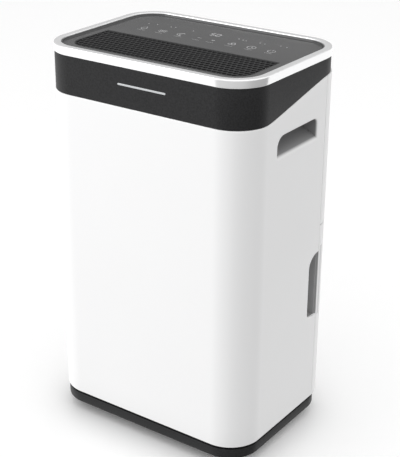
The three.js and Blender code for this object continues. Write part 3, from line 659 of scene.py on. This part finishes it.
def topBand():
    # closed ring: columns follow the plan, rows run from the raised lower edge to the rim, out on
    # the skin and back on the inner wall; the lamp sits in a shallow groove across the front
    lampLow, lampHigh = boxOf("light_bar")
    m, lip, near = lampSlot["margin"], lampSlot["lip"], lampSlot["near"]
    x0, x1, z0, z1 = lampLow[0] - m, lampHigh[0] + m, lampLow[2] - m, lampHigh[2] + m
    points, normals = bandColumns(x0, x1)
    low, high = edgeHeight(points[:, 1]), bandHigh[2]
    easeOut, easeDrop = quarter(band["ease"])
    levels = np.array([z0 - near, z0 - lip, z0, z1, z1 + lip, z1 + near])
    rise = np.clip((levels[None] - bandEdge["front"]) / (high - bandEdge["front"]), 0, 1)
    middle = low[:, None] + (high - low)[:, None] * rise
    lowRows = low[:, None] + easeOut[::-1][None]
    highRows = high - easeOut[None] * 0.5 + np.zeros((len(points), 1))
    z = np.hstack([lowRows, middle, highRows])
    ease = np.concatenate([easeDrop[::-1], np.zeros(len(levels)), easeDrop * 0.5])
    across = (points[:, 0] > x0 - 1e-3) & (points[:, 0] < x1 + 1e-3)
    across &= points[:, 1] < cabinet["front"] + 1e-3
    inSlot = across[:, None] & (z > z0 - 1e-3) & (z < z1 + 1e-3)
    inward = ease[None] + lampSlot["depth"] * inSlot
    skins = [points[:, None] - normals[:, None] * shift[..., None]
             for shift in (inward, np.full_like(z, cabinet["wall"]))]
    outer, inner = [np.concatenate([skin, z[..., None]], -1) for skin in skins]
    loop = np.concatenate([outer, inner[:, ::-1]], 1)
    makePiece("band_skin", loop, gridFaces(loop.shape[0], loop.shape[1], True, True), "cabinet",
              blackPlastic, "black_plastic", ["top_band"])


def brightRing():
    # rim section carried round the plan: upright face, eased shoulders, flat top, short inner wall
    grow = rimHigh[0] - cabinet["halfWidth"]
    low, high = rimLow[2], rimHigh[2]
    section = filleted([(grow, low, rim["outerFoot"]), (grow, high, rim["outerTop"]),
                        (-rim["width"], high, rim["innerTop"]), (-rim["width"], low, rim["innerFoot"])], 6)
    points, faces = sweepRound(outline(cabinet["bandRear"]), section)
    makePiece("bright_ring", points, faces, "cabinet", brightRim, "bright_rim", ["chrome_rim"])


topBand()
brightRing()
print("band and rim done")


# control deck and outlet

deck = {"inset": 9.1, "lip": 2.0, "foot": 1.7, "floor": 510.4, "under": 508.0,
        "top": boxOf("top_deck")[1][2]}
outlet = {"halfWidth": 129.0, "front": -85.5, "rear": -5.5, "radius": 24.0,
          "pitchX": 6.9, "pitchY": 7.4, "open": (0.88, 0.64), "bend": 1.1, "margin": 2.2,
          "thick": 3.4, "drop": 0.25, "frame": 1.0}


def outletLoop(grow):
    # the outlet's outline, rounded at the front, grown by a little
    radius, small = outlet["radius"] + grow, 2 + grow
    half = outlet["halfWidth"] + grow
    radii = (radius, radius, small, small)
    return roundedLoop(-half, half, outlet["front"] - grow, outlet["rear"] + grow, radii, 12)


def controlDeck():
    # tray: rim wall with an eased lip and a filleted foot swept round the plan, and a floor sheet
    # with the outlet cut out of it
    inner = -(deck["inset"] + deck["lip"])
    foot, floor, under = deck["foot"], deck["floor"], deck["under"]
    turn = np.linspace(0, np.pi / 2, 9)
    footArc = np.stack([inner - foot * (1 - np.cos(turn)), floor + foot * (1 - np.sin(turn))], -1)
    lip = filleted([(-deck["inset"], under, 0.3), (-deck["inset"], deck["top"], 0.6),
                    (inner, deck["top"], 0.7)], 4)
    section = np.vstack([lip, footArc])
    points, normals = path = outline(cabinet["bandRear"])
    hole, soft = outletLoop(0.0), outletLoop(0.5)
    top = flatSheet([points + normals * section[-1, 0], soft[::-1]], atHeight(floor))
    below = flatSheet([points + normals * section[0, 0], hole[::-1]], atHeight(under))
    easing = np.stack([atHeight(floor)(soft), atHeight(floor - 0.5)(hole), atHeight(under)(hole)], 1)
    parts = joined(sweepOpen(path, section), top, below, (easing, gridFaces(len(hole), 3, True)))
    makePiece("control_deck", *parts, "cabinet", deckGrey, "grey_plastic", ["top_deck"])


def latticeCentres():
    # rows of cells, every second row half a pitch along, kept where the middle is inside the outline
    px, py, half, front, r = (outlet[key] for key in ("pitchX", "pitchY", "halfWidth", "front", "radius"))
    rows = int((outlet["rear"] - front - 2) // py)
    columns = int(2 * half // px) + 1
    i, j = np.meshgrid(np.arange(columns), np.arange(rows), indexing="ij")
    x = (i - (columns - 1) / 2) * px + np.where(j % 2 == 0, 0, px / 2)
    y = (front + outlet["rear"]) / 2 - (rows - 1) * py / 2 + j * py
    margin = outlet["margin"]
    cornerX, cornerY = np.abs(x) - (half - r), front + r - y
    inside = (np.abs(x) < half - margin) & (y > front + margin)
    inside &= ~((cornerX > 0) & (cornerY > 0) & (np.hypot(cornerX, cornerY) > r - margin))
    return np.stack([x[inside], y[inside]], -1)


def latticeFrame(low, high):
    # narrow frame: a filleted section carried round the outlet's outline
    width, half, r = outlet["frame"], outlet["halfWidth"] - 0.3, outlet["radius"]
    section = filleted([(0, low - 0.4, 0.2), (0, high + 0.1, 0.4), (-width, high + 0.1, 0.4),
                        (-width, low - 0.4, 0.2)], 3)
    loop = roundedLoop(-half, half, outlet["front"] + 0.3, outlet["rear"] - 0.3, (r, r, 1.7, 1.7), 12)
    ahead = np.roll(loop, -1, 0) - np.roll(loop, 1, 0)
    ahead /= np.linalg.norm(ahead, axis=1, keepdims=True)
    return sweepRound((loop, np.stack([ahead[:, 1], -ahead[:, 0]], -1)), section)


def outletLattice():
    # honeycomb: each cell is a stack of rings, point = centre + share * (cell corner - centre),
    # that ends in the wall of its opening
    hx, hy, bend = outlet["pitchX"] / 2, outlet["pitchY"] / 2, outlet["bend"]
    high = deck["floor"] - outlet["drop"]
    low = high - outlet["thick"]
    cell = np.array([(-hx, bend - hy), (0, -hy - bend), (hx, bend - hy), (hx, 0), (hx, hy - bend),
                     (0, hy + bend), (-hx, hy - bend), (-hx, 0)])
    hole = cell * outlet["open"]
    rings = [(cell, low), (cell, high - 0.5), ((cell + hole) / 2, high), (hole, high - 0.3),
             (hole * 0.98, high - 1.2), (hole * 0.92, low)]
    centres = latticeCentres()
    plan = centres[:, None, None] + np.stack([ring for ring, _ in rings])[None]
    tall = np.array([h for _, h in rings])[None, :, None, None]
    grid = np.concatenate([plan, np.broadcast_to(tall, plan.shape[:3] + (1,))], -1)
    one = gridFaces(len(rings), len(cell), True, True)
    faces = (one[None] + (np.arange(len(centres)) * len(rings) * len(cell))[:, None, None]).reshape(-1, 4)
    makePiece("outlet_lattice", *joined((grid, faces), latticeFrame(low, high)), "cabinet", grilleBlack,
              "black_plastic", ["outlet_grille"], sharp=25)
    print("lattice cells:", len(centres))


controlDeck()
outletLattice()
print("deck and outlet done")


# panel print

panel = {
    "iconY": 30.5, "dashY": 20.4, "lift": 0.06, "thick": 0.16, "line": 0.65, "size": 6.2,
    "signs": [("drop", -97), ("waves", -68), ("moon", -39), ("minus", -11), ("plus", 10), ("fan", 38),
              ("clock", 66), ("power", 95)],
    "lamps": [(-94, 54), (-106, 51), (-72, 53.5), (-66, 55), (-37, 54), (32, 55), (39, 53.5), (44, 52.5),
              (63.5, 54), (70.5, 53.5), (91.5, 57), (101, 55.5)],
    "digitX": -9.5, "digitY": 49.5, "digitPitch": 8.4, "digitSize": (5.2, 4.6),
    "digits": ["afgcd", "abcdef"],
    "bars": {"a": ((0, 2), (1, 2)), "b": ((1, 2), (1, 1)), "c": ((1, 1), (1, 0)), "d": ((0, 0), (1, 0)),
             "e": ((0, 1), (0, 0)), "f": ((0, 2), (0, 1)), "g": ((0, 1), (1, 1))},
}


def strokeMesh(path, width, closed):
    # flat ribbon along a path: left and right edges are path +/- half width along the turned tangent
    path = np.asarray(path, float)
    if closed:
        along = np.roll(path, -1, 0) - np.roll(path, 1, 0)
    else:
        along = np.gradient(path, axis=0)
    along /= np.maximum(np.linalg.norm(along, axis=1, keepdims=True), 1e-9)
    across = np.stack([-along[:, 1], along[:, 0]], -1) * width / 2
    left, right = path + across, path - across
    high = deck["floor"] + panel["lift"]
    low = high - panel["thick"]
    corners = [(left, high), (right, high), (right, low), (left, low)]
    grid = np.stack([atHeight(level)(side) for side, level in corners], 1)
    faces = gridFaces(len(path), 4, closed, True).tolist()
    if not closed:
        last = (len(path) - 1) * 4
        faces += [[0, 1, 2, 3], [last, last + 1, last + 2, last + 3]]
    return grid, faces


def arcPath(centre, radius, start, stop, steps=14):
    # centre + radius * (cos, sin) between two angles in degrees
    turn = np.radians(np.linspace(start, stop, steps))
    return np.array(centre) + radius * np.stack([np.cos(turn), np.sin(turn)], -1)


def iconStrokes(kind):
    # each sign as strokes in a square from -1 to 1: (path, closed)
    bar = np.array([(-0.6, 0), (0, 0), (0.6, 0)])
    if kind == "fan":
        strokes = []
        for a in np.radians([90, 210, 330]):
            middle, turn = (0.45 * math.cos(a), 0.45 * math.sin(a)), math.degrees(a)
            strokes.append((arcPath(middle, 0.42, turn - 150, turn + 120, 10), False))
        return strokes + [(arcPath((0, 0), 0.12, 0, 330, 8), True)]
    if kind == "drop":
        turn = np.radians(np.linspace(-230, 50, 18))
        body = np.stack([0.62 * np.cos(turn), 0.62 * np.sin(turn) - 0.3], -1)
        return [(np.vstack([body, [[0, 1.0]]]), True)]
    if kind == "moon":
        outer, inner = arcPath((0, 0), 0.9, 60, 300, 16), arcPath((0.5, 0), 0.8, 255, 105, 12)
        return [(np.vstack([outer, inner]), True)]
    if kind == "clock":
        hands = np.array([(0, 0.55), (0, 0), (0.4, -0.25)])
        return [(arcPath((0, 0), 0.9, 0, 345, 24), True), (hands, False)]
    if kind == "power":
        stem = np.array([(0, 0.95), (0, 0.45), (0, 0.1)])
        return [(arcPath((0, -0.1), 0.8, 125, 415, 20), False), (stem, False)]
    if kind == "waves":
        step = np.linspace(-0.9, 0.9, 14)
        return [(np.stack([step, 0.18 * np.sin(step * 5) + level], -1), False) for level in (-0.5, 0, 0.5)]
    if kind == "plus":
        return [(bar, False), (bar[:, ::-1], False)]
    return [(bar, False)]


def panelPrintMesh():
    # signs, underlines, small lamps and a two-digit reading, laid just above the deck's floor
    parts = []
    for kind, x in panel["signs"]:
        size = panel["size"] * (0.75 if kind in ("plus", "minus") else 1)
        for path, closed in iconStrokes(kind):
            parts.append(strokeMesh(path * size + (x, panel["iconY"]), panel["line"], closed))
        for number, dash in enumerate(np.arange(-4.5, 5, 2.3)):  # a row of plain dashes under each sign
            run = 1.2 + 0.5 * ((number * 7 + abs(x)) % 3) / 2
            path = [(x + dash + run * share, panel["dashY"]) for share in (0, 0.5, 1)]
            parts.append(strokeMesh(path, 0.6, False))
    for spot in panel["lamps"]:
        parts.append(strokeMesh(arcPath(spot, 0.45, 0, 330, 8), 0.9, True))
    for place, digit in enumerate(panel["digits"]):
        shift = (panel["digitX"] + place * panel["digitPitch"], panel["digitY"])
        for mark in digit:
            a, b = np.array(panel["bars"][mark], float)
            path = np.stack([a + (b - a) * 0.1, (a + b) / 2, b - (b - a) * 0.1])
            parts.append(strokeMesh(path * panel["digitSize"] + shift, 1.15, False))
    makePiece("panel_print", *joined(*parts), "cabinet", panelPrint, "light_lens")


panelPrintMesh()
print("panel print done")


# base

base = {"inset": 1.3, "rear": 106.0, "low": boxOf("base_plate")[0][2], "top": 31.4, "skirt": 3.0,
        "castorX": 124, "castorY": (-60, 57.3), "studs": (-72, -53), "studRadius": 56, "studShare": 0.8,
        "socket": [(0, 35.4), (7.2, 35.4), (8, 34.6), (8, 28.8), (3.4, 28.8), (3.4, 33.2), (0, 33.2)],
        "stud": [(0, 54), (2.3, 54), (2.8, 53.4), (2.8, 30.5), (0, 30.5)]}


def baseTray():
    # skirt and floor of the base: section swept round the plan, the floor closed as flat sheets,
    # with turned sockets for the castors and studs for the compressor
    low, top, inset, skirt = base["low"], base["top"], base["inset"], base["skirt"]
    section = filleted([(-inset - skirt, low, 0.6), (-inset, low, 2.2), (-inset, top, 0.3)], 5)
    points, normals = path = outline(base["rear"])
    inner = atHeight(top - skirt)(points - normals * (inset + skirt))
    startEdge, topEdge = (atHeight(section[end, 1])(points + normals * section[end, 0]) for end in (0, -1))
    ring = [list(range(len(points)))]
    parts = [sweepOpen(path, section), (np.stack([startEdge, inner], 1), gridFaces(len(points), 2, True)),
             (topEdge, ring), (inner, ring)]
    for x in (-base["castorX"], base["castorX"]):
        for y in base["castorY"]:
            parts.append(lathe((x, y, 0), base["socket"], "z", 24))
    midX, midY = base["studs"]
    for angle in np.radians([90, 210, 330]):
        x = midX + base["studRadius"] * math.cos(angle)
        y = midY + base["studShare"] * base["studRadius"] * math.sin(angle)
        parts.append(lathe((x, y, 0), base["stud"], "z", 16))
    makePiece("base_tray", *joined(*parts), "cabinet", blackPlastic, "black_plastic", ["base_plate"])


baseTray()
print("base done")


# nodes refined from the frame's own shapes

def refined(node, material, bevel=0.4, steps=2, sharp=32, trims=None):
    # copy of a node: merged, flat faces dissolved, edges eased with a bevel, shaded smooth. A trim
    # (z, shift) moves the points of one level, to widen the joint line beside it
    source = nodes[node]
    mesh = source.data.copy()
    mesh.name = node + "_soft"
    work = bmesh.new()
    work.from_mesh(mesh)
    bmesh.ops.remove_doubles(work, verts=work.verts, dist=1e-6)
    bmesh.ops.dissolve_limit(work, angle_limit=math.radians(0.6), verts=work.verts, edges=work.edges)
    for vertex in work.verts:
        if trims and abs(vertex.co.z - trims[0] * mm) < 0.05 * mm:
            vertex.co.z += trims[1] * mm
    work.to_mesh(mesh)
    work.free()
    mesh.shade_smooth()
    mesh.set_sharp_from_angle(angle=math.radians(sharp))
    piece = bpy.data.objects.new(node + "_soft", mesh)
    bpy.context.scene.collection.objects.link(piece)
    mesh.materials.clear()
    mesh.materials.append(material)
    if bevel:
        ease = piece.modifiers.new("ease", "BEVEL")
        ease.width = bevel * mm
        ease.segments = steps
        ease.limit_method = "ANGLE"
        ease.angle_limit = math.radians(42)
        ease.miter_outer = "MITER_ARC"
        ease.harden_normals = False
    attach(piece, source["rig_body"])
    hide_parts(node)
    return piece


spots = ["front_right", "front_left", "rear_right", "rear_left"]
finishes = {
    "rear_cover": (whitePlastic, 0.8), "water_tank": (whiteTank, 0.8),
    "intake_grille": (whitePlastic, 0.35),
    "level_window": (clearWindow, 0.5), "light_bar": (lightLens, 0.45), "drain_cap": (rubber, 0.4),
    "cord_gland": (rubber, 0.4), "drain_spout": (whitePlastic, 0.3), "tank_lid": (whitePlastic, 0.3),
}
for spot in spots:
    finishes["castor_yoke_" + spot] = (zincSteel, 0.35)
    finishes["castor_wheel_" + spot] = (rubber, 0.3)
tankSeam = boxOf("rear_cover")[0][2]
trimmed = {"rear_cover": (tankSeam, 0.4), "water_tank": (boxOf("water_tank")[1][2], -0.4)}
for node, (material, width) in finishes.items():
    refined(node, material, width, trims=trimmed.get(node))
print("refined nodes done")

# everything else keeps its shape and takes a finish
plain = {
    whitePlastic: ["float_arm"],
    zincSteel: ["castor_axle_" + spot for spot in spots] + ["cover_screw_%d" % n for n in (1, 2, 3, 4)]
    + ["float_pin", "fan_shaft", "fan_motor", "motor_bracket"],
    filterNet: ["filter_mesh"],
    innerBlack: ["tank_bay_frame", "fan_housing", "fan_impeller", "control_box", "tank_switch"],
    deckGrey: ["drip_tray", "humidity_sensor"],
    blackEnamel: ["compressor", "accumulator"],
    rubber: ["compressor_grommet_%d" % n for n in (1, 2, 3)],
    coilAluminium: ["evaporator", "condenser", "run_capacitor"],
    copperPipe: ["discharge_pipe", "suction_pipe", "suction_link", "capillary_tube"],
    circuitBoard: ["control_board", "display_board"],
    floatFoam: ["float"],
}
for material, names in plain.items():
    for name in names:
        data = nodes[name].data
        if not data.materials:
            data.materials.append(material)
        for number in range(len(data.materials)):
            data.materials[number] = material
print("finishes done")


# floor, light and camera

studio = {"sky": 1.14, "skyRear": 0.45, "zenith": 1.2, "lowBright": 1.25, "lowDark": 0.4,
          "key": 19.0, "keySize": 0.9, "floor": 1.0, "floorRough": 0.34, "floorGlow": 0.02}
view = {"lens": 93.0, "shift": (0.042, 0.0054), "place": (0.8185, -1.1509, 0.8906),
        "azimuth": 36.002, "elevation": 24.046}


def makeFloor():
    # large flat sheet under the castors, gridded so it is not one face
    side = np.linspace(-30000, 30000, 5)
    x, y = np.meshgrid(side, side, indexing="ij")
    grid = np.stack([x, y, np.full_like(x, -0.05)], -1)
    mesh = bpy.data.meshes.new("studioFloor")
    mesh.from_pydata((grid.reshape(-1, 3) * mm).tolist(), [], gridFaces(5, 5).tolist())
    floor = bpy.data.objects.new("studioFloor", mesh)
    bpy.context.scene.collection.objects.link(floor)
    paint = bpy.data.materials.new("floorPaint")
    paint.use_nodes = True
    shader = paint.node_tree.nodes["Principled BSDF"]
    setInputs(shader, {
        "Base Color": (studio["floor"],) * 3 + (1,), "Roughness": studio["floorRough"],
        "Specular IOR Level": 0.5, "Emission Color": (1, 1, 1, 1),
        "Emission Strength": studio["floorGlow"]})
    mesh.materials.append(paint)
    floor.visible_diffuse = False
    floor.visible_glossy = False
    return floor


def makeSky():
    # soft dome: brighter overhead, dimmer to the rear left; below the horizon a bright sweep with a
    # dim quarter to the front right. How far a direction is from an azimuth is cos(azimuth - centre).
    world = bpy.data.worlds.new("studio")
    bpy.context.scene.world = world
    world.use_nodes = True
    tree = world.node_tree
    back = tree.nodes["Background"]
    place = tree.nodes.new("ShaderNodeTexCoord")
    split = tree.nodes.new("ShaderNodeSeparateXYZ")
    tree.links.new(place.outputs["Generated"], split.inputs[0])
    forward = mathNode(tree, "MULTIPLY", split.outputs[1], -1.0)
    azimuth = mathNode(tree, "ARCTAN2", split.outputs[0], forward)

    def between(value, low, high, atLow, atHigh):
        ramp = tree.nodes.new("ShaderNodeMapRange")
        ramp.interpolation_type = "SMOOTHSTEP"
        for label, number in (("From Min", low), ("From Max", high), ("To Min", atLow), ("To Max", atHigh)):
            if isinstance(number, (int, float)):
                ramp.inputs[label].default_value = number
            else:
                tree.links.new(number, ramp.inputs[label])
        tree.links.new(value, ramp.inputs["Value"])
        return ramp.outputs[0]

    def facing(degrees):
        return mathNode(tree, "COSINE", mathNode(tree, "SUBTRACT", azimuth, math.radians(degrees)))
    dim = between(facing(130), 0.1, 0.9, studio["lowDark"] + 0.12, studio["lowDark"] - 0.13)
    below = between(facing(54), 0.05, 0.2, studio["lowBright"], dim)
    around = between(facing(-144), 0.3, 0.85, studio["sky"], studio["skyRear"])
    above = between(split.outputs[2], 0.5, 0.85, around, studio["zenith"])
    tree.links.new(between(split.outputs[2], -0.06, 0.06, below, above), back.inputs["Strength"])
    back.inputs["Color"].default_value = (1, 1, 1, 1)


def addSoftbox(name, position, target, size, power):
    light = bpy.data.lights.new(name, "AREA")
    light.shape = "SQUARE"
    light.size = size
    light.energy = power
    lamp = bpy.data.objects.new(name, light)
    bpy.context.scene.collection.objects.link(lamp)
    lamp.location = position
    lamp.rotation_euler = (Vector(target) - Vector(position)).to_track_quat("-Z", "Y").to_euler()
    return lamp


def makeCamera():
    data = bpy.data.cameras.new("camera")
    data.sensor_width = 36.0
    data.lens = view["lens"]
    data.shift_x, data.shift_y = view["shift"]
    data.clip_end = 100.0
    camera = bpy.data.objects.new("camera", data)
    bpy.context.scene.collection.objects.link(camera)
    azimuth, elevation = math.radians(view["azimuth"]), math.radians(view["elevation"])
    level = math.cos(elevation)
    camera.location = view["place"]
    aim = Vector((-math.sin(azimuth) * level, math.cos(azimuth) * level, -math.sin(elevation)))
    camera.rotation_euler = aim.to_track_quat("-Z", "Y").to_euler()
    bpy.context.scene.camera = camera


floor = makeFloor()
makeSky()
key = addSoftbox("keyLight", (-1.3, -1.65, 1.68), (0, 0, 0.3), studio["keySize"], studio["key"])
offFloor = bpy.data.collections.new("offFloor")  # the key leaves the floor to the dome
offFloor.objects.link(floor)
offFloor.collection_objects[0].light_linking.link_state = "EXCLUDE"
key.light_linking.receiver_collection = offFloor
makeCamera()
bpy.context.scene.view_settings.view_transform = "Standard"
bpy.context.scene.view_settings.look = "None"
print("studio done")
